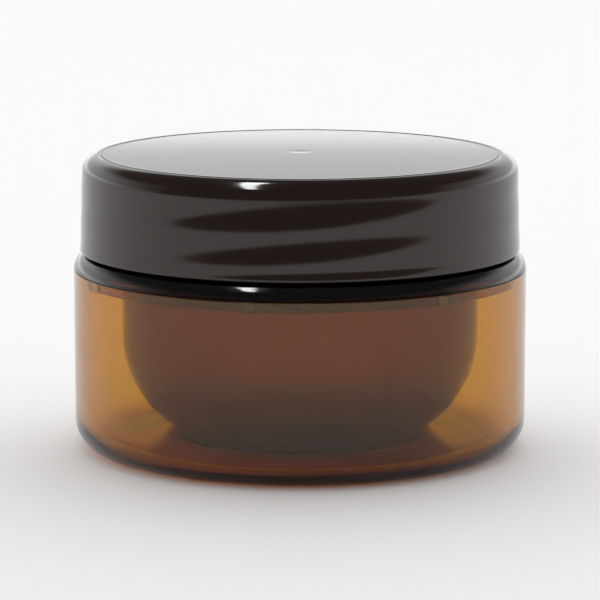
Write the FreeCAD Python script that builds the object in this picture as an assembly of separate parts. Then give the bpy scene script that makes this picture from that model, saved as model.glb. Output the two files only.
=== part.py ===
import FreeCAD, Part
import math
import os

# Cosmetic cream jar with a double wall and a screw lid, 62 mm across and 41 mm high.
# A clear outer shell carries an inner cup by its flange. The lid screws on to the neck of
# the cup and closes it over a soft liner. The ridges of the screw thread are left out: the
# neck and the lid's bore are plain here, with the space between them that the ridges fill.
# Every piece is a half section of (radius, height) points turned about the jar's axis.
# Millimetres, +Z up. The origin is the centre of the base that the jar stands on.

# Outer shell
SHELL_R = 31.0              # outer radius of the jar body
SHELL_H = 24.8              # base to the edge that the cup's flange rests on
SHELL_WALL = 1.5
SHELL_FLOOR = 2.8           # height of the floor's middle, which carries the cup
FLOOR_EDGE = 1.6            # height of the floor beside the wall, lower than its middle
FLOOR_MIDDLE_W = 1.4        # how far the floor's middle reaches past the cup's foot
BASE_ROUND = 4.0            # outer rounding between the side and the base
FLOOR_ROUND = 2.6           # the same corner on the inside
STAND_W = 1.6               # flat ring that the jar stands on
RECESS_DEPTH = 1.2          # the base is hollowed inside that ring

# Inner cup: flange and neck
FLANGE_T = 2.2
FLANGE_ROUND = 0.9          # rounding of the flange's outer edge
LEDGE_W = 4.0               # flange's edge to the neck
NECK_H = 11.0               # flange to rim
NECK_WALL = 1.8             # at the rim
RIM_BEVEL = 0.3

# Inner cup: bowl
SIDE_SPACE = 5.1            # between the bowl and the shell's inner wall, under the flange
BOWL_CURVE_R = 15.0         # outside radius of the curve between wall and floor
CURVE_CUT = 2.0             # how far that curve would dip into the shell's floor
BOWL_WALL = 1.2
BOWL_FLOOR = 1.5
FOOT_W = 0.8                # ring that the cup stands on, inside the shell
FOOT_H = 0.6
FLOOR_RISE = 1.2            # rise of the floor inside, from its edge to its centre
GATE_R = 2.0                # dished gate mark in the middle of the floor
GATE_DEPTH = 0.4
PIP_R = 0.55
PIP_H = 0.25

# Locating ring under the flange, with keys that stop the cup from turning in the shell
RING_H = 1.5
RING_WALL = 1.1
RING_CLEAR = 0.1            # between the ring and the shell's inner wall
KEY_COUNT = 7
KEY_WIDTH = 1.8
KEY_DEPTH = 0.6             # how far a key reaches into the shell's wall
KEY_CLEAR = 0.08

# Lid
LID_SETBACK = 0.9           # the lid's lower edge stands this much inside the shell's side
LID_DRAFT = 0.3             # how much the side narrows up to the shoulder
LID_GAP = 0.2               # between the lid's lower edge and the flange
LID_BEVEL = 0.3
THREAD_SPACE = 1.45         # neck to the lid's bore, which the ridges of both fill
PANEL_T = 1.5               # top of the lid
PANEL_STEP = 0.12           # the panel stands this much above the shoulder
PANEL_STEP_W = 0.2
SHOULDER_W = 4.0            # rounded shoulder between the side and the top panel
SHOULDER_H = 2.4
LID_CORNER = 1.0            # bevel inside, between the lid's side and its top

# Liner
LINER_T = 1.0
LINER_PLAY = 0.05           # to the rim below it and to the lid above it
LINER_EDGE_CLEAR = 0.1      # to the bevel of the lid's inside corner

# Straight facets along one curve of a section, which keep the solids light
LARGE_CURVE = 4
SMALL_CURVE = 2

# Radii and heights that follow from the sizes above
SHELL_BORE_R = SHELL_R - SHELL_WALL
RECESS_R = SHELL_R - BASE_ROUND - STAND_W
NECK_R = SHELL_R - LEDGE_W
MOUTH_R = NECK_R - NECK_WALL
BOWL_R = SHELL_BORE_R - SIDE_SPACE
BOWL_CURVE_Z = SHELL_FLOOR + BOWL_CURVE_R - CURVE_CUT
BOWL_FLOOR_Z = SHELL_FLOOR + BOWL_FLOOR
FOOT_R = BOWL_R - BOWL_CURVE_R + math.sqrt(BOWL_CURVE_R ** 2 - (BOWL_CURVE_R - CURVE_CUT) ** 2)
FLOOR_MIDDLE_R = FOOT_R + FLOOR_MIDDLE_W
RING_R = SHELL_BORE_R - RING_CLEAR
FLANGE_TOP = SHELL_H + FLANGE_T
RIM_Z = FLANGE_TOP + NECK_H
LID_R = SHELL_R - LID_SETBACK
LID_BORE_R = NECK_R + THREAD_SPACE
LID_BOTTOM = FLANGE_TOP + LID_GAP
LINER_BOTTOM = RIM_Z + LINER_PLAY
LINER_R = LID_BORE_R - LID_CORNER - LINER_EDGE_CLEAR
LID_CEILING = LINER_BOTTOM + LINER_T + LINER_PLAY
LID_TOP = LID_CEILING + PANEL_T

AXIS_FOOT = FreeCAD.Vector(0, 0, 0)
UP = FreeCAD.Vector(0, 0, 1)


def bend(centre, half_w, half_h, start, end, facets):
    """Points of a section along an oval curve. Angles in degrees, from +X towards +Z."""
    turns = [math.radians(start + (end - start) * i / facets) for i in range(facets + 1)]
    return [(centre[0] + half_w * math.cos(t), centre[1] + half_h * math.sin(t)) for t in turns]


def revolve(section):
    """The solid that a closed half section makes when it turns about the jar's axis."""
    corners = [FreeCAD.Vector(r, 0, z) for r, z in section + section[:1]]
    return Part.Face(Part.makePolygon(corners)).revolve(AXIS_FOOT, UP, 360)


def keys(reach, width, height):
    """Blocks all round, from inside the locating ring out to the given radius."""
    inner = RING_R - RING_WALL / 2
    corner = FreeCAD.Vector(inner, -width / 2, SHELL_H - height)
    copies = [Part.makeBox(reach - inner, width, height, corner) for _ in range(KEY_COUNT)]
    for i, copy in enumerate(copies):
        copy.rotate(AXIS_FOOT, UP, 360 * i / KEY_COUNT)
    return copies


def outer_shell():
    """Clear cup with a thick rounded base and notches for the keys in its upper edge."""
    base_centre = (SHELL_R - BASE_ROUND, BASE_ROUND)
    floor_centre = (SHELL_BORE_R - FLOOR_ROUND, FLOOR_EDGE + FLOOR_ROUND)
    section = [(0, RECESS_DEPTH), (FLOOR_MIDDLE_R, RECESS_DEPTH), (RECESS_R, 0)]
    section += bend(base_centre, BASE_ROUND, BASE_ROUND, -90, 0, LARGE_CURVE)
    section += [(SHELL_R, SHELL_H), (SHELL_BORE_R, SHELL_H)]
    section += bend(floor_centre, FLOOR_ROUND, FLOOR_ROUND, 0, -90, SMALL_CURVE)
    section += [(FLOOR_MIDDLE_R, SHELL_FLOOR), (0, SHELL_FLOOR)]
    notches = keys(SHELL_BORE_R + KEY_DEPTH + KEY_CLEAR, KEY_WIDTH + 2 * KEY_CLEAR,
                   RING_H + KEY_CLEAR)
    return revolve(section).cut(notches)


def bowl_curve(radius, end_z):
    """The bowl's corner curve, outside or inside, from its wall down to the given height."""
    centre = (BOWL_R - BOWL_CURVE_R, BOWL_CURVE_Z)
    end = -math.degrees(math.asin((BOWL_CURVE_Z - end_z) / radius))
    return bend(centre, radius, radius, 0, end, LARGE_CURVE)


def flange_edge():
    """The rounded outer edge of the flange, from its lower face to its upper one."""
    centre_r = SHELL_R - FLANGE_ROUND
    lower = (centre_r, SHELL_H + FLANGE_ROUND)
    upper = (centre_r, FLANGE_TOP - FLANGE_ROUND)
    return (bend(lower, FLANGE_ROUND, FLANGE_ROUND, -90, 0, SMALL_CURVE)
            + bend(upper, FLANGE_ROUND, FLANGE_ROUND, 0, 90, SMALL_CURVE))


def inner_cup():
    """Bowl, flange and neck in one moulding, keyed into the shell."""
    outside_curve = bowl_curve(BOWL_CURVE_R, SHELL_FLOOR)
    inside_curve = bowl_curve(BOWL_CURVE_R - BOWL_WALL, BOWL_FLOOR_Z)
    foot_r = outside_curve[-1][0] - FOOT_W
    section = [(0, SHELL_FLOOR + FOOT_H), (foot_r - FOOT_H, SHELL_FLOOR + FOOT_H),
               (foot_r, SHELL_FLOOR)]
    section += outside_curve[::-1]
    section += [(BOWL_R, SHELL_H), (RING_R - RING_WALL, SHELL_H),
                (RING_R - RING_WALL, SHELL_H - RING_H), (RING_R, SHELL_H - RING_H),
                (RING_R, SHELL_H)]
    section += flange_edge()
    section += [(NECK_R, FLANGE_TOP), (NECK_R, RIM_Z - RIM_BEVEL), (NECK_R - RIM_BEVEL, RIM_Z),
                (MOUTH_R + RIM_BEVEL, RIM_Z), (MOUTH_R, RIM_Z - RIM_BEVEL),
                (MOUTH_R, FLANGE_TOP), (BOWL_R - BOWL_WALL, SHELL_H)]
    section += inside_curve + [(0, BOWL_FLOOR_Z + FLOOR_RISE)]
    cup = revolve(section).fuse(keys(SHELL_BORE_R + KEY_DEPTH, KEY_WIDTH, RING_H))
    return cup.cut(gate_mark())


def gate_mark():
    """Dish with a pip, where the plastic entered the mould."""
    bottom = FreeCAD.Vector(0, 0, BOWL_FLOOR_Z + FLOOR_RISE - GATE_DEPTH)
    dish = Part.makeCylinder(GATE_R, 2 * GATE_DEPTH, bottom)
    return dish.cut(Part.makeCone(PIP_R, PIP_R / 2, PIP_H, bottom))


def lid():
    """Screw lid with a rounded shoulder and a flat top panel."""
    side_top_r = LID_R - LID_DRAFT
    step_r = side_top_r - SHOULDER_W
    shoulder_centre = (step_r, LID_TOP - PANEL_STEP - SHOULDER_H)
    section = [(0, LID_CEILING), (LID_BORE_R - LID_CORNER, LID_CEILING),
               (LID_BORE_R, LID_CEILING - LID_CORNER), (LID_BORE_R, LID_BOTTOM + LID_BEVEL),
               (LID_BORE_R + LID_BEVEL, LID_BOTTOM), (LID_R - LID_BEVEL, LID_BOTTOM),
               (LID_R, LID_BOTTOM + LID_BEVEL)]
    section += bend(shoulder_centre, SHOULDER_W, SHOULDER_H, 0, 90, LARGE_CURVE)
    section += [(step_r - PANEL_STEP_W, LID_TOP), (0, LID_TOP)]
    return revolve(section)


def liner():
    """Soft disc inside the lid, which seals on the rim."""
    return Part.makeCylinder(LINER_R, LINER_T, FreeCAD.Vector(0, 0, LINER_BOTTOM))


NODES = {
    "outer_shell": outer_shell,
    "inner_cup": inner_cup,
    "lid": lid,
    "lid_liner": liner,
}


def main():
    os.makedirs("parts", exist_ok=True)
    for node, build in NODES.items():
        shape = build()
        shape.exportStep(f"parts/{node}.step")
        print(node, "solids", len(shape.Solids), "valid", shape.isValid(),
              "volume", round(shape.Volume, 1), "mm3")


main()
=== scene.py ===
import bpy
import math
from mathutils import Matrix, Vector


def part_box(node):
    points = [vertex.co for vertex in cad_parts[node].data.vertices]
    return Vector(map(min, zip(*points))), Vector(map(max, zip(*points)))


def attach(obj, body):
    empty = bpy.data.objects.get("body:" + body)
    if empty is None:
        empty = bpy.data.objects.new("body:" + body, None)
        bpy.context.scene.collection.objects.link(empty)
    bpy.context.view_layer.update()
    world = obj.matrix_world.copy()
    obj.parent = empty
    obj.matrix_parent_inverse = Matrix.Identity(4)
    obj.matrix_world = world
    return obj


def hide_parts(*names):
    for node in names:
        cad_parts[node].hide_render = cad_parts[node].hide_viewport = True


# Cosmetic cream jar with a double wall: a clear amber shell round a darker cup, and a dark
# glossy screw lid. Metres, +Z up, the jar's axis on Z, its base on z = 0, its front at -Y.

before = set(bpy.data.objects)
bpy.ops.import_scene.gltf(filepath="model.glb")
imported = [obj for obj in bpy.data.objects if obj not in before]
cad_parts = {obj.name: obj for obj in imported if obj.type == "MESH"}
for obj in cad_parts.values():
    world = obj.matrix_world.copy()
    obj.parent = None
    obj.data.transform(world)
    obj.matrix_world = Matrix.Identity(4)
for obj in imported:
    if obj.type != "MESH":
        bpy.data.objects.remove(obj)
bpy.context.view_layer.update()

MM = 0.001

# Places of the pieces, from the boxes of the parts in model.glb
SHELL_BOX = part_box("outer_shell")
CUP_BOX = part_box("inner_cup")
LID_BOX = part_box("lid")
LINER_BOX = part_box("lid_liner")
SHELL_R, SHELL_H = SHELL_BOX[1][0], SHELL_BOX[1][2]
CUP_BOTTOM, RIM_Z = CUP_BOX[0][2], CUP_BOX[1][2]
LID_R, LID_BOTTOM, LID_TOP = LID_BOX[1][0], LID_BOX[0][2], LID_BOX[1][2]
LINER_R, LINER_BOTTOM, LINER_TOP = LINER_BOX[1][0], LINER_BOX[0][2], LINER_BOX[1][2]

# Shell
SHELL_WALL = 1.5 * MM
BASE_ROUND = 4.0 * MM
FLOOR_ROUND = 2.6 * MM
RECESS_R = 25.4 * MM
RECESS_DEPTH = 1.2 * MM
FLOOR_EDGE = 1.6 * MM       # the floor's middle stands higher and carries the cup
FLOOR_MIDDLE_R = 18.28 * MM
FLOOR_BEND = 6.0 * MM       # the floor runs out to its edge in two easy bends
STAND_ROUND = 1.0 * MM
SHELL_EDGE_ROUND = 0.1 * MM
SEAT_GAP = 0.02 * MM        # keeps clear plastic from sharing a face with what rests on it
SHELL_BORE_R = SHELL_R - SHELL_WALL

# Cup
FLANGE_T = 2.2 * MM
FLANGE_ROUND = 2.0 * MM     # the flange's outside is one big rounding over a small foot
FLANGE_LEAN = 12.0          # degrees that the foot of the rounding leans inwards
FLANGE_FOOT = 0.1 * MM
NECK_R = 27.0 * MM
MOUTH_R = 25.2 * MM
NECK_FOOT_ROUND = 0.4 * MM
RIM_ROUND = 0.3 * MM
LEDGE_ROUND = 0.3 * MM      # the two corners between the mouth and the bowl
BOWL_R = 24.4 * MM
BOWL_TOP_ROUND = 3.0 * MM   # where the bowl's outside meets the flange
BOWL_CURVE_R = 15.0 * MM
BOWL_CURVE_Z = 15.8 * MM
BOWL_WALL = 1.2 * MM
BOWL_FLOOR = 1.5 * MM
FLOOR_RISE = 1.2 * MM
FOOT_W = 0.8 * MM
FOOT_H = 0.6 * MM
GATE_R = 2.0 * MM
GATE_DEPTH = 0.35 * MM
GATE_LIP = 0.02 * MM
GATE_SLOPE_W = 0.15 * MM
PIP_R = 0.55 * MM
PIP_H = 0.25 * MM
PIP_TAPER = 0.6             # the pip's top against its foot
RING_H = 1.5 * MM
RING_WALL = 1.1 * MM
RING_CLEAR = 0.1 * MM
RING_INNER_ROUND = 0.1 * MM
RING_OUTER_ROUND = 0.15 * MM
RING_R = SHELL_BORE_R - RING_CLEAR
FLANGE_TOP = SHELL_H + FLANGE_T
KEY_COUNT = 7
KEY_WIDTH = 1.8 * MM
KEY_REACH = 0.6 * MM        # into the shell's wall
KEY_CLEAR = 0.08 * MM

# Thread of the neck and the lid: ridges with flat crests, which run out at both ends
THREAD_STARTS = 3
THREAD_LEAD = 9.0 * MM
RIDGE_H = 1.15 * MM
RIDGE_CREST = 0.8 * MM
RIDGE_ROOT = 1.9 * MM
RIDGE_SINK = 0.3 * MM       # root of a ridge inside the wall
RIDGE_RUN_OUT = 0.06        # share of a ridge's length over which it gets thin at each end
RIDGE_TIP = 0.05            # size of a ridge's very end against its middle
NECK_SWEEP = 285.0          # degrees round the neck
NECK_TOP_DROP = 2.7 * MM    # rim to the middle of a ridge at its upper end
NECK_TOP_AZIMUTH = 202.0
LID_SWEEP = 130.0
LID_RIDGE_LIFT = 1.7 * MM   # lid's foot to the middle of a ridge at its lower end
THREAD_PLAY = 0.2 * MM

# Lid
LINER_PLAY = 0.05 * MM
LID_BORE_R = 28.45 * MM
LID_CEILING = LINER_TOP + LINER_PLAY
LID_DRAFT = 0.3 * MM
LID_EDGE_ROUND = 0.3 * MM
LID_CORNER = 1.0 * MM
SHOULDER_W = 2.3 * MM
SHOULDER_H = 2.4 * MM
BEAD_W = 0.5 * MM           # low bead and groove round the panel
BEAD_H = 0.05 * MM
BEAD_ROUND = 2.0 * MM
GROOVE_W = 0.2 * MM
GROOVE_ROUND = 0.4 * MM
LID_GATE_R = 2.0 * MM
LID_GATE_DEPTH = 0.05 * MM
PANEL_RISE = 0.25 * MM      # the panel is a very shallow dome
SINK_DEPTH = 0.05 * MM      # sink marks on the side, outside the ridges of the thread
SINK_PERIOD = 4.6 * MM
SINK_TURNS = 3              # sink marks that run round the lid side by side
SINK_PHASE = 1.65
SINK_FADE = 1.0 * MM        # they fade out over this height above and below

LINER_EDGE_ROUND = 0.15 * MM

# How fine the meshes are
COLUMNS = 360               # steps round each turned piece
LINER_COLUMNS = 180
ARC_STEP = 6.0              # degrees of curve between two points of a section
CORNER_STEP = 2.5 * ARC_STEP
SIDE_ROWS = 44              # rows on the lid's side, for its sink marks
PANEL_RINGS = 96            # rings on the lid's panel, for its dome and gate
DOME_RINGS = 16
THREAD_STEPS = 90           # steps in a turn of a ridge
SHARP_ANGLE = math.radians(40)


# ---------------------------------------------------------------- sections

def arc(centre, half_w, half_h, start, end):
    """Points along an oval curve of a section. Angles in degrees, from +X towards +Z."""
    steps = max(2, math.ceil(abs(end - start) / ARC_STEP))
    turns = [math.radians(start + (end - start) * i / steps) for i in range(steps + 1)]
    return [(centre[0] + half_w * math.cos(t), centre[1] + half_h * math.sin(t)) for t in turns]


def rounded(before, corner, after, radius):
    """Points that round a section's corner, with one more on each side to keep flats flat."""
    a = (Vector(before) - Vector(corner)).normalized()
    b = (Vector(after) - Vector(corner)).normalized()
    half = a.angle(b) / 2
    reach = radius / math.tan(half)
    centre = Vector(corner) + (a + b).normalized() * radius / math.sin(half)
    start = Vector(corner) + a * reach - centre
    end = Vector(corner) + b * reach - centre
    swing = start.angle(end)
    steps = max(2, math.ceil(math.degrees(swing) / CORNER_STEP))
    points = [centre + (start * math.sin(swing * (1 - i / steps))
                        + end * math.sin(swing * i / steps)) / math.sin(swing)
              for i in range(steps + 1)]
    first = Vector(corner) + a * (reach + radius / 3)
    last = Vector(corner) + b * (reach + radius / 3)
    return [tuple(p) for p in [first] + points + [last]]


def section(corners):
    """A section from (radius, height, rounding) corners. Those without rounding stay sharp."""
    points = []
    for i, corner in enumerate(corners):
        if len(corner) == 2 or i in (0, len(corners) - 1):
            points.append(corner[:2])
        else:
            points += rounded(corners[i - 1][:2], corner[:2], corners[i + 1][:2], corner[2])
    return points


def parabola(edge_r, edge_z, rise, steps):
    """Points of a shallow dome, from its edge towards its top on the axis."""
    radii = [edge_r * (1 - i / steps) for i in range(1, steps + 1)]
    return [(r, edge_z + rise * (1 - (r / edge_r) ** 2)) for r in radii]


# ---------------------------------------------------------------- meshes

def mesh_piece(name, mesh, body):
    """A smooth piece that rides on a body and takes its finish from a slot."""
    mesh.shade_smooth()
    mesh.set_sharp_from_angle(angle=SHARP_ANGLE)
    piece = bpy.data.objects.new(name, mesh)
    bpy.context.collection.objects.link(piece)
    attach(piece, body)
    return piece


def turned_piece(name, profile, mat, body, columns=COLUMNS, shape=None):
    """A piece whose mesh is a section turned about the axis."""
    verts, faces = turn(profile, columns, shape)
    mesh = bpy.data.meshes.new(name)
    mesh.from_pydata(verts, [], faces)
    mesh.validate()
    mesh.materials.append(mat)
    return mesh_piece(name, mesh, body)


def turn(profile, columns, shape):
    """Vertices and faces of a section turned about the axis, its outside on the right of its
    way. Points on the axis become one vertex. shape(angle, r, z) may move a point's radius."""
    verts, rings = [], []
    for i, (r, z) in enumerate(profile):
        if i and math.dist((r, z), profile[i - 1]) < 1e-8:
            continue
        if r < 1e-7:
            rings.append([len(verts)])
            verts.append((0, 0, z))
            continue
        rings.append(list(range(len(verts), len(verts) + columns)))
        for c in range(columns):
            angle = 2 * math.pi * c / columns
            radius = shape(angle, r, z) if shape else r
            verts.append((radius * math.cos(angle), radius * math.sin(angle), z))
    faces = []
    pairs = list(zip(rings, rings[1:]))
    if len(rings[0]) > 1:
        pairs.append((rings[-1], rings[0]))
    for low, high in pairs:
        if len(low) == 1 and len(high) == 1:
            continue
        for c in range(columns):
            d = (c + 1) % columns
            if len(low) == 1:
                faces.append((low[0], high[d], high[c]))
            elif len(high) == 1:
                faces.append((low[c], low[d], high[0]))
            else:
                faces.append((low[c], low[d], high[d], high[c]))
    return verts, faces


# ---------------------------------------------------------------- materials

def linear(hex_colour):
    """An sRGB hex colour as linear numbers for a shader."""
    channels = [int(hex_colour[i:i + 2], 16) / 255 for i in (0, 2, 4)]
    return tuple(c / 12.92 if c <= 0.04045 else ((c + 0.055) / 1.055) ** 2.4
                 for c in channels) + (1.0,)


def add(tree, kind, inputs=None, **settings):
    """Add a node, set its properties, and fill or link its input sockets."""
    node = tree.nodes.new(kind)
    for key, value in settings.items():
        setattr(node, key, value)
    for key, value in (inputs or {}).items():
        if isinstance(value, bpy.types.NodeSocket):
            tree.links.new(value, node.inputs[key])
        else:
            node.inputs[key].default_value = value
    return node


def material(name):
    """A new node material with its node tree, emptied."""
    mat = bpy.data.materials.new(name)
    mat.use_nodes = True
    mat.node_tree.nodes.clear()
    return mat, mat.node_tree


def let_lamps_in(tree, shader):
    """The shader's own look, but lamps shine through it, tinted by its depth alone."""
    rays = add(tree, "ShaderNodeLightPath")
    clear = add(tree, "ShaderNodeBsdfTransparent", {"Color": linear("FAFAFA")})
    return add(tree, "ShaderNodeMixShader", {"Fac": rays.outputs["Is Shadow Ray"],
                                             1: shader.outputs["BSDF"],
                                             2: clear.outputs["BSDF"]})


def amber_acrylic():
    """Acrylic, injection moulded in a polished mould: clear, deep orange where it is thick,
    with a skin so smooth that only a faint flow ripple moves its highlights."""
    mat, tree = material("amber_acrylic_polish_moulded")
    place = add(tree, "ShaderNodeTexCoord").outputs["Object"]
    flow = add(tree, "ShaderNodeTexNoise", {"Vector": place, "Scale": 1 / (9 * MM), "Detail": 1.0})
    skin = add(tree, "ShaderNodeBump", {"Height": flow.outputs["Fac"], "Strength": 0.15,
                                        "Distance": 0.02 * MM})
    shader = add(tree, "ShaderNodeBsdfPrincipled",
                 {"Base Color": linear("FFFFFF"), "Roughness": 0.02, "IOR": 1.49,
                  "Transmission Weight": 1.0, "Normal": skin.outputs["Normal"]})
    depth = add(tree, "ShaderNodeVolumeAbsorption",
                {"Color": (0.885, 0.75, 0.0, 1.0), "Density": 1760.0})
    surface = let_lamps_in(tree, shader)
    add(tree, "ShaderNodeOutputMaterial", {"Surface": surface.outputs["Shader"],
                                           "Volume": depth.outputs["Volume"]})
    return mat


def amber_styrene():
    """Clear polystyrene tinted dark amber, injection moulded: a thin wall lets brown red light
    through, the thick flange looks black, and fine grain softens what shows through it."""
    mat, tree = material("dark_amber_polystyrene_moulded")
    place = add(tree, "ShaderNodeTexCoord").outputs["Object"]
    grain = add(tree, "ShaderNodeTexNoise", {"Vector": place, "Scale": 1 / (1.5 * MM),
                                             "Detail": 3.0})
    gloss = add(tree, "ShaderNodeMapRange", {"Value": grain.outputs["Fac"], "To Min": 0.06,
                                             "To Max": 0.12})
    shader = add(tree, "ShaderNodeBsdfPrincipled",
                 {"Base Color": linear("FFFFFF"), "IOR": 1.52, "Transmission Weight": 1.0,
                  "Roughness": gloss.outputs["Result"]})
    depth = add(tree, "ShaderNodeVolumeAbsorption",
                {"Color": (0.71, 0.455, 0.0, 1.0), "Density": 2500.0})
    surface = let_lamps_in(tree, shader)
    add(tree, "ShaderNodeOutputMaterial", {"Surface": surface.outputs["Shader"],
                                           "Volume": depth.outputs["Volume"]})
    return mat


def brown_abs():
    """ABS, injection moulded in a polished mould, almost black brown: mirror gloss with a
    little orange peel."""
    mat, tree = material("dark_brown_abs_polish_moulded")
    place = add(tree, "ShaderNodeTexCoord").outputs["Object"]
    peel = add(tree, "ShaderNodeTexNoise", {"Vector": place, "Scale": 1 / (4 * MM), "Detail": 2.0})
    skin = add(tree, "ShaderNodeBump", {"Height": peel.outputs["Fac"], "Strength": 0.1,
                                        "Distance": 0.02 * MM})
    gloss = add(tree, "ShaderNodeMapRange", {"Value": peel.outputs["Fac"], "To Min": 0.06,
                                             "To Max": 0.12})
    shader = add(tree, "ShaderNodeBsdfPrincipled",
                 {"Base Color": linear("20140E"), "IOR": 1.54,
                  "Roughness": gloss.outputs["Result"], "Normal": skin.outputs["Normal"]})
    add(tree, "ShaderNodeOutputMaterial", {"Surface": shader.outputs["BSDF"]})
    return mat


def foam():
    """Polyethylene foam, cut from sheet: matt off-white with fine closed cells."""
    mat, tree = material("white_polyethylene_foam_cut")
    place = add(tree, "ShaderNodeTexCoord").outputs["Object"]
    cells = add(tree, "ShaderNodeTexVoronoi", {"Vector": place, "Scale": 1 / (0.5 * MM)})
    tone = add(tree, "ShaderNodeMix", {"Factor": cells.outputs["Distance"],
                                       "A": linear("E4E0D6"), "B": linear("F2F0EA")},
               data_type="RGBA")
    pits = add(tree, "ShaderNodeBump", {"Height": cells.outputs["Distance"], "Strength": 0.4,
                                        "Distance": 0.1 * MM})
    shader = add(tree, "ShaderNodeBsdfPrincipled",
                 {"Base Color": tone.outputs["Result"], "Roughness": 0.75, "IOR": 1.5,
                  "Normal": pits.outputs["Normal"]})
    add(tree, "ShaderNodeOutputMaterial", {"Surface": shader.outputs["BSDF"]})
    return mat


# ---------------------------------------------------------------- pieces

def shell_piece(mat):
    """The clear outer shell: a thin raised floor, a standing ring and a straight wall."""
    floor_z = CUP_BOTTOM - SEAT_GAP
    top_z = SHELL_H - SEAT_GAP
    profile = section([
        (0, RECESS_DEPTH), (FLOOR_MIDDLE_R, RECESS_DEPTH, FLOOR_BEND),
        (RECESS_R, 0, STAND_ROUND), (SHELL_R, 0, BASE_ROUND),
        (SHELL_R, top_z, SHELL_EDGE_ROUND), (SHELL_BORE_R, top_z, SHELL_EDGE_ROUND),
        (SHELL_BORE_R, FLOOR_EDGE, FLOOR_ROUND),
        (FLOOR_MIDDLE_R, floor_z, FLOOR_BEND), (0, floor_z)])
    piece = turned_piece("shell_amber", profile, mat, "jar")
    notch(piece, mat)
    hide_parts("outer_shell")


def bowl_arc(radius, end_z):
    """The bowl's curve from its straight side down to a height."""
    centre = (BOWL_R - BOWL_CURVE_R, BOWL_CURVE_Z)
    end = -math.degrees(math.asin((BOWL_CURVE_Z - end_z) / radius))
    return arc(centre, radius, radius, 0, end)


def cup_piece(mat):
    """The cup in one moulding: bowl and foot, flange and ring, neck and rim."""
    floor_z = CUP_BOTTOM + BOWL_FLOOR
    outer = bowl_arc(BOWL_CURVE_R, CUP_BOTTOM)
    inner = bowl_arc(BOWL_CURVE_R - BOWL_WALL, floor_z)
    foot_r = outer[-1][0] - FOOT_W
    underside = [(0, CUP_BOTTOM + FOOT_H), (foot_r - FOOT_H, CUP_BOTTOM + FOOT_H),
                 (foot_r, CUP_BOTTOM)]
    lean = math.radians(FLANGE_LEAN)
    flange_h = (FLANGE_T - FLANGE_FOOT) / (1 - math.sin(lean))
    flange = arc((SHELL_R - FLANGE_ROUND * math.cos(lean), FLANGE_TOP - flange_h),
                 FLANGE_ROUND, flange_h, FLANGE_LEAN, 90)
    ring_foot = SHELL_H - RING_H
    under_flange = section([
        outer[0], (BOWL_R, SHELL_H, BOWL_TOP_ROUND), (RING_R - RING_WALL, SHELL_H),
        (RING_R - RING_WALL, ring_foot, RING_INNER_ROUND), (RING_R, ring_foot, RING_OUTER_ROUND),
        (RING_R, SHELL_H), (SHELL_R - FLANGE_FOOT, SHELL_H)])
    neck = section([
        flange[-1], (NECK_R, FLANGE_TOP, NECK_FOOT_ROUND), (NECK_R, RIM_Z, RIM_ROUND),
        (MOUTH_R, RIM_Z, RIM_ROUND), (MOUTH_R, FLANGE_TOP, LEDGE_ROUND),
        (BOWL_R - BOWL_WALL, SHELL_H, LEDGE_ROUND), inner[0]])
    dome = [p for p in parabola(inner[-1][0], floor_z, FLOOR_RISE, DOME_RINGS)
            if p[0] > GATE_R]
    gate_z = floor_z + FLOOR_RISE
    well_z = gate_z - GATE_DEPTH
    gate = [(GATE_R, gate_z - GATE_LIP), (GATE_R - GATE_SLOPE_W, well_z),
            (PIP_R, well_z), (PIP_R * PIP_TAPER, well_z + PIP_H), (0, well_z + PIP_H)]
    profile = (underside + outer[:0:-1] + under_flange + flange + neck + inner[1:] + dome
               + gate)
    piece = turned_piece("cup_amber", profile, mat, "jar")
    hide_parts("inner_cup")


def lid_piece(mat):
    """The lid: a round shoulder, a low bead round a domed panel, sink marks on its side."""
    side_top_r = LID_R - LID_DRAFT
    groove_r = side_top_r - SHOULDER_W
    bead_r = groove_r - BEAD_W
    panel_r = bead_r - BEAD_W
    panel_z = LID_TOP - PANEL_RISE
    shoulder_z = panel_z - SHOULDER_H
    shoulder = arc((groove_r, shoulder_z), SHOULDER_W, SHOULDER_H, 0, 90)
    foot = section([(0, LID_CEILING), (LID_BORE_R, LID_CEILING, LID_CORNER),
                    (LID_BORE_R, LID_BOTTOM, LID_EDGE_ROUND), (LID_R, LID_BOTTOM, LID_EDGE_ROUND),
                    shoulder[0]])
    side_foot, side_top = foot[-2], foot[-1]
    side = [(side_foot[0] + (side_top[0] - side_foot[0]) * i / SIDE_ROWS,
             side_foot[1] + (side_top[1] - side_foot[1]) * i / SIDE_ROWS)
            for i in range(1, SIDE_ROWS)]
    edge = section([shoulder[-1], (groove_r - GROOVE_W, panel_z - BEAD_H, GROOVE_ROUND),
                    (bead_r, panel_z + BEAD_H, BEAD_ROUND), (panel_r, panel_z)])
    panel = [(r, z - LID_GATE_DEPTH * max(0, 1 - (r / LID_GATE_R) ** 2) ** 2)
             for r, z in parabola(panel_r, panel_z, PANEL_RISE, PANEL_RINGS)]
    profile = foot[:-1] + side + shoulder + edge[1:] + panel

    side_end_z = shoulder_z + SHOULDER_H / 2

    def sink(angle, r, z):
        if r < LID_BORE_R + LID_EDGE_ROUND or z < side_foot[1] or z > side_end_z:
            return r
        fade = min(1, (z - side_foot[1]) / SINK_FADE, (side_end_z - z) / SINK_FADE)
        wave = math.cos(2 * math.pi * z / SINK_PERIOD - SINK_TURNS * angle + SINK_PHASE)
        return r - SINK_DEPTH * fade * (1 + wave) / 2

    piece = turned_piece("lid_brown", profile, mat, "lid", shape=sink)
    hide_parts("lid")


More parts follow.
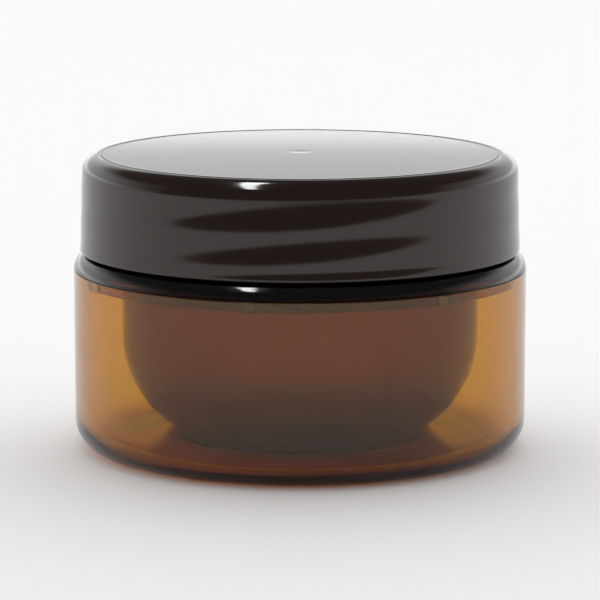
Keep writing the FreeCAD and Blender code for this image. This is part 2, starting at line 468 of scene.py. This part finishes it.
def liner_piece(mat):
    """The sealing disc in the lid."""
    profile = section([(0, LINER_BOTTOM), (LINER_R, LINER_BOTTOM, LINER_EDGE_ROUND),
                       (LINER_R, LINER_TOP, LINER_EDGE_ROUND), (0, LINER_TOP)])
    piece = turned_piece("liner_foam", profile, mat, "liner", LINER_COLUMNS)
    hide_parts("lid_liner")


# ---------------------------------------------------------------- repeated forms

def node_tree(name, sizes):
    """A geometry tree that takes named sizes and ends in a Geometry output."""
    tree = bpy.data.node_groups.new(name, "GeometryNodeTree")
    for label, kind in sizes.items():
        tree.interface.new_socket(label, in_out="INPUT", socket_type=kind)
    tree.interface.new_socket("Geometry", in_out="OUTPUT", socket_type="NodeSocketGeometry")
    return tree, tree.nodes.new("NodeGroupInput")


def ring_of_copies(tree, shape, count, mat):
    """Copies of a shape turned evenly round the axis, as real faces with a material."""
    points = add(tree, "GeometryNodePoints", {"Count": count})
    step = add(tree, "ShaderNodeMath", {0: 2 * math.pi, 1: count}, operation="DIVIDE")
    turned = add(tree, "ShaderNodeMath", {0: add(tree, "GeometryNodeInputIndex").outputs["Index"],
                                          1: step.outputs["Value"]}, operation="MULTIPLY")
    spin = add(tree, "ShaderNodeCombineXYZ", {"Z": turned.outputs["Value"]})
    copies = add(tree, "GeometryNodeInstanceOnPoints",
                 {"Points": points.outputs["Points"], "Instance": shape,
                  "Rotation": spin.outputs["Vector"]})
    real = add(tree, "GeometryNodeRealizeInstances", {"Geometry": copies.outputs["Instances"]})
    done = add(tree, "GeometryNodeSetMaterial", {"Geometry": real.outputs["Geometry"],
                                                 "Material": mat})
    add(tree, "NodeGroupOutput", {"Geometry": done.outputs["Geometry"]})


def grown(name, tree, sizes):
    """The plain mesh that a geometry tree makes with these sizes."""
    blank = bpy.data.objects.new(name, bpy.data.meshes.new(name))
    bpy.context.collection.objects.link(blank)
    modifier = blank.modifiers.new(name, "NODES")
    modifier.node_group = tree
    for item in tree.interface.items_tree:
        if item.in_out == "INPUT":
            modifier[item.identifier] = sizes[item.name]
    ready = blank.evaluated_get(bpy.context.evaluated_depsgraph_get())
    mesh = bpy.data.meshes.new_from_object(ready)
    if mesh.materials[0] is None:
        mesh.materials.pop(index=0)
    blank.modifiers.clear()
    bpy.data.objects.remove(blank)
    return mesh


def thread_tree(mat):
    """Ridges of a thread: a flat-crested section swept up a helix, thinner at both ends."""
    size = "NodeSocketFloat"
    tree, given = node_tree("thread_ridges", {
        "Radius": size, "Turns": size, "Rise": size, "Bottom": size, "Azimuth": size,
        "Ridge height": size, "Crest": size, "Root": size, "Sink": size, "Section turn": size,
        "Starts": "NodeSocketInt"})
    at = given.outputs
    helix = add(tree, "GeometryNodeCurveSpiral",
                {"Resolution": THREAD_STEPS, "Rotations": at["Turns"],
                 "Start Radius": at["Radius"], "End Radius": at["Radius"],
                 "Height": at["Rise"], "Reverse": True})
    along = add(tree, "GeometryNodeSplineParameter").outputs["Factor"]
    rest = add(tree, "ShaderNodeMath", {0: 1.0, 1: along}, operation="SUBTRACT")
    near = add(tree, "ShaderNodeMath", {0: along, 1: rest.outputs["Value"]}, operation="MINIMUM")
    thin = add(tree, "ShaderNodeMapRange",
               {"Value": near.outputs["Value"], "From Max": RIDGE_RUN_OUT, "To Min": RIDGE_TIP,
                "To Max": 1.0}, interpolation_type="SMOOTHSTEP")
    path = add(tree, "GeometryNodeSetCurveRadius", {"Curve": helix.outputs["Curve"],
                                                    "Radius": thin.outputs["Result"]})
    level = add(tree, "GeometryNodeSetCurveNormal", {"Curve": path.outputs["Curve"]},
                mode="Z_UP")
    tall = add(tree, "ShaderNodeMath", {0: at["Ridge height"], 1: at["Sink"]}, operation="ADD")
    ridge = add(tree, "GeometryNodeCurvePrimitiveQuadrilateral",
                {"Height": tall.outputs["Value"], "Bottom Width": at["Root"],
                 "Top Width": at["Crest"], "Offset": 0.0}, mode="TRAPEZOID")
    middle = add(tree, "ShaderNodeMath", {0: tall.outputs["Value"], 1: 2.0}, operation="DIVIDE")
    lift = add(tree, "ShaderNodeMath", {0: middle.outputs["Value"], 1: at["Sink"]},
               operation="SUBTRACT")
    offset = add(tree, "ShaderNodeCombineXYZ", {"Y": lift.outputs["Value"]})
    stood = add(tree, "GeometryNodeTransform", {"Geometry": ridge.outputs["Curve"],
                                                "Translation": offset.outputs["Vector"]})
    twist = add(tree, "ShaderNodeCombineXYZ", {"Z": at["Section turn"]})
    aimed = add(tree, "GeometryNodeTransform", {"Geometry": stood.outputs["Geometry"],
                                                "Rotation": twist.outputs["Vector"]})
    swept = add(tree, "GeometryNodeCurveToMesh",
                {"Curve": level.outputs["Curve"], "Profile Curve": aimed.outputs["Geometry"],
                 "Fill Caps": True})
    place = add(tree, "ShaderNodeCombineXYZ", {"Z": at["Bottom"]})
    spin = add(tree, "ShaderNodeCombineXYZ", {"Z": at["Azimuth"]})
    put = add(tree, "GeometryNodeTransform", {"Geometry": swept.outputs["Mesh"],
                                              "Translation": place.outputs["Vector"],
                                              "Rotation": spin.outputs["Vector"]})
    ring_of_copies(tree, put.outputs["Geometry"], at["Starts"], mat)
    return tree


def thread_piece(name, mat, body, radius, sweep, bottom, azimuth, section_turn):
    """The ridges of one thread. The section's turn points them out (-90) or in (90)."""
    sizes = {"Radius": radius, "Turns": sweep / 360, "Rise": THREAD_LEAD * sweep / 360,
             "Bottom": bottom, "Azimuth": math.radians(azimuth), "Ridge height": RIDGE_H,
             "Crest": RIDGE_CREST, "Root": RIDGE_ROOT, "Sink": RIDGE_SINK,
             "Section turn": math.radians(section_turn), "Starts": THREAD_STARTS}
    mesh_piece(name, grown(name, thread_tree(mat), sizes), body)


def keys_tree(mat):
    """Small blocks round the locating ring."""
    size = "NodeSocketFloat"
    tree, given = node_tree("locating_keys", {
        "Inner radius": size, "Outer radius": size, "Width": size, "Height": size, "Top": size,
        "Count": "NodeSocketInt"})
    at = given.outputs
    reach = add(tree, "ShaderNodeMath", {0: at["Outer radius"], 1: at["Inner radius"]},
                operation="SUBTRACT")
    cut = add(tree, "ShaderNodeCombineXYZ", {"X": reach.outputs["Value"], "Y": at["Width"],
                                             "Z": at["Height"]})
    block = add(tree, "GeometryNodeMeshCube", {"Size": cut.outputs["Vector"]})
    half = add(tree, "ShaderNodeMath", {0: reach.outputs["Value"], 1: 0.5}, operation="MULTIPLY")
    out = add(tree, "ShaderNodeMath", {0: at["Inner radius"], 1: half.outputs["Value"]},
              operation="ADD")
    down = add(tree, "ShaderNodeMath", {0: at["Height"], 1: -0.5}, operation="MULTIPLY")
    up = add(tree, "ShaderNodeMath", {0: at["Top"], 1: down.outputs["Value"]}, operation="ADD")
    spot = add(tree, "ShaderNodeCombineXYZ", {"X": out.outputs["Value"], "Z": up.outputs["Value"]})
    put = add(tree, "GeometryNodeTransform", {"Geometry": block.outputs["Mesh"],
                                              "Translation": spot.outputs["Vector"]})
    ring_of_copies(tree, put.outputs["Geometry"], at["Count"], mat)
    return tree


def key_sizes(clear):
    """Sizes of the keys, or of their notches with some clearance."""
    return {"Inner radius": RING_R - RING_WALL / 2,
            "Outer radius": SHELL_BORE_R + KEY_REACH + clear,
            "Width": KEY_WIDTH + 2 * clear, "Height": RING_H + clear, "Top": SHELL_H + clear,
            "Count": KEY_COUNT}


def notch(piece, mat):
    """Notches in the shell's rim for the keys, cut with blocks a little wider than the keys."""
    cutter = bpy.data.objects.new("cutter", grown("cutter", keys_tree(mat), key_sizes(KEY_CLEAR)))
    bpy.context.collection.objects.link(cutter)
    modifier = piece.modifiers.new("notches", "BOOLEAN")
    modifier.object, modifier.operation, modifier.solver = cutter, "DIFFERENCE", "EXACT"
    ready = piece.evaluated_get(bpy.context.evaluated_depsgraph_get())
    cut = bpy.data.meshes.new_from_object(ready)
    piece.modifiers.clear()
    piece.data = cut
    cut.set_sharp_from_angle(angle=SHARP_ANGLE)
    bpy.data.objects.remove(cutter)


def thread_and_keys(styrene, abs_plastic):
    """The neck's ridges, the lid's ridges midway between them, and the keys of the ring."""
    drop = THREAD_LEAD * NECK_SWEEP / 360
    top_z = RIM_Z - NECK_TOP_DROP
    thread_piece("neck_thread", styrene, "jar", NECK_R, NECK_SWEEP, top_z - drop,
                 NECK_TOP_AZIMUTH - NECK_SWEEP, -90)
    bottom_z = LID_BOTTOM + LID_RIDGE_LIFT
    pitch = THREAD_LEAD / THREAD_STARTS
    behind = top_z - pitch / 2 + THREAD_PLAY / 2 - bottom_z
    thread_piece("lid_thread", abs_plastic, "lid", LID_BORE_R, LID_SWEEP, bottom_z,
                 NECK_TOP_AZIMUTH - 360 * behind / THREAD_LEAD, 90)
    keys = grown("locating_keys", keys_tree(styrene), key_sizes(0))
    mesh_piece("locating_keys", keys, "jar")


# ---------------------------------------------------------------- studio

CAMERA_PLACE = Vector((0, -463.4, 98.5)) * MM
CAMERA_AIM = Vector((0, 0, 20.0)) * MM
CAMERA_LENS = 205.0
TABLE_HALF = 2.0
TABLE_FRONT = 0.30
TABLE_GAP = 0.02 * MM


def camera():
    """A long lens, a little above the lid."""
    data = bpy.data.cameras.new("studio_camera")
    data.lens = CAMERA_LENS
    obj = bpy.data.objects.new("studio_camera", data)
    bpy.context.collection.objects.link(obj)
    obj.location = CAMERA_PLACE
    obj.rotation_euler = (CAMERA_AIM - CAMERA_PLACE).to_track_quat("-Z", "Y").to_euler()
    bpy.context.scene.camera = obj


def softbox(name, place, turned, width, length, radiance):
    """An area lamp that faces down, its length turned by an angle from the Y axis, and its
    brightness given as what a mirror would show of it."""
    data = bpy.data.lights.new(name, "AREA")
    data.shape = "RECTANGLE"
    data.size, data.size_y = width, length
    data.energy = radiance * math.pi * width * length
    obj = bpy.data.objects.new(name, data)
    bpy.context.collection.objects.link(obj)
    obj.location = place
    obj.rotation_euler = (0, 0, math.radians(turned))
    return obj


def table():
    """A white table, which ends near the front so that the lid's side mirrors a dark room."""
    mat, tree = material("white_table_paper")
    place = add(tree, "ShaderNodeTexCoord").outputs["Object"]
    grain = add(tree, "ShaderNodeTexNoise", {"Vector": place, "Scale": 1 / (2 * MM)})
    shader = add(tree, "ShaderNodeBsdfPrincipled", {"Base Color": linear("FAFAFA"),
                                                    "Roughness": 0.9, "IOR": 1.1})
    bump = add(tree, "ShaderNodeBump", {"Height": grain.outputs["Fac"], "Strength": 0.02,
                                        "Distance": 0.1 * MM})
    tree.links.new(bump.outputs["Normal"], shader.inputs["Normal"])
    add(tree, "ShaderNodeOutputMaterial", {"Surface": shader.outputs["BSDF"]})
    mesh = bpy.data.meshes.new("table")
    half, front, z = TABLE_HALF, TABLE_FRONT, -TABLE_GAP
    mesh.from_pydata([(-half, -front, z), (half, -front, z), (half, half, z), (-half, half, z)],
                     [], [(0, 1, 2, 3)])
    mesh.materials.append(mat)
    obj = bpy.data.objects.new("table", mesh)
    bpy.context.collection.objects.link(obj)


def lamps():
    """A narrow strip whose mirror image lies on the lid and flange, and a soft box above."""
    strip = softbox("strip_left", (-0.27, -0.1, 1.0), -15, 0.09, 1.0, 18.0)
    strip.visible_diffuse = False
    soft = softbox("softbox_top", (0.1, 0.2, 1.1), 0, 0.8, 0.9, 0.4)
    soft.visible_glossy = False


def room():
    """White where it is seen, bright behind and dim in front and above where it is mirrored,
    and a light from low behind on matt surfaces."""
    world = bpy.data.worlds.new("studio_room")
    bpy.context.scene.world = world
    world.use_nodes = True
    tree = world.node_tree
    tree.nodes.clear()
    white = linear("FFFFFF")
    side = add(tree, "ShaderNodeSeparateXYZ",
               {"Vector": add(tree, "ShaderNodeTexCoord").outputs["Generated"]})
    low = add(tree, "ShaderNodeMapRange", {"Value": side.outputs["Z"], "From Min": 0.098,
                                           "From Max": 0.118, "To Min": 1.5, "To Max": 1.0})
    high = add(tree, "ShaderNodeMapRange", {"Value": side.outputs["Z"], "From Min": 0.35,
                                            "From Max": 0.55, "To Min": 1.0, "To Max": 0.1})
    back = add(tree, "ShaderNodeMath", {0: low.outputs["Result"], 1: high.outputs["Result"]},
               operation="MULTIPLY")
    wall = add(tree, "ShaderNodeMapRange", {"Value": side.outputs["Y"], "From Min": -0.3,
                                            "From Max": 0.6, "To Min": 0.1,
                                            "To Max": back.outputs["Value"]})
    shown = add(tree, "ShaderNodeBackground", {"Color": white, "Strength": wall.outputs["Result"]})
    glow = add(tree, "ShaderNodeMapRange", {"Value": side.outputs["Z"], "From Min": 0.15,
                                            "From Max": 0.5, "To Min": 3.35, "To Max": 0.605})
    behind = add(tree, "ShaderNodeMapRange", {"Value": side.outputs["Y"], "From Min": -1.0,
                                              "To Min": 0.15, "To Max": 1.85})
    level = add(tree, "ShaderNodeMath", {0: glow.outputs["Result"], 1: behind.outputs["Result"]},
                operation="MULTIPLY")
    fill = add(tree, "ShaderNodeBackground", {"Color": white, "Strength": level.outputs["Value"]})
    seen = add(tree, "ShaderNodeBackground", {"Color": white, "Strength": 1.0})
    rays = add(tree, "ShaderNodeLightPath")
    through = add(tree, "ShaderNodeMath", {0: rays.outputs["Is Camera Ray"],
                                           1: rays.outputs["Is Transmission Ray"]},
                  operation="MAXIMUM")
    lit = add(tree, "ShaderNodeMixShader", {"Fac": rays.outputs["Is Glossy Ray"],
                                            1: fill.outputs["Background"],
                                            2: shown.outputs["Background"]})
    mix = add(tree, "ShaderNodeMixShader", {"Fac": through.outputs["Value"],
                                            1: lit.outputs["Shader"],
                                            2: seen.outputs["Background"]})
    add(tree, "ShaderNodeOutputWorld", {"Surface": mix.outputs["Shader"]})


styrene = amber_styrene()
abs_plastic = brown_abs()
shell_piece(amber_acrylic())
cup_piece(styrene)
lid_piece(abs_plastic)
liner_piece(foam())
thread_and_keys(styrene, abs_plastic)
camera()
table()
lamps()
room()
bpy.context.scene.view_settings.view_transform = "Standard"
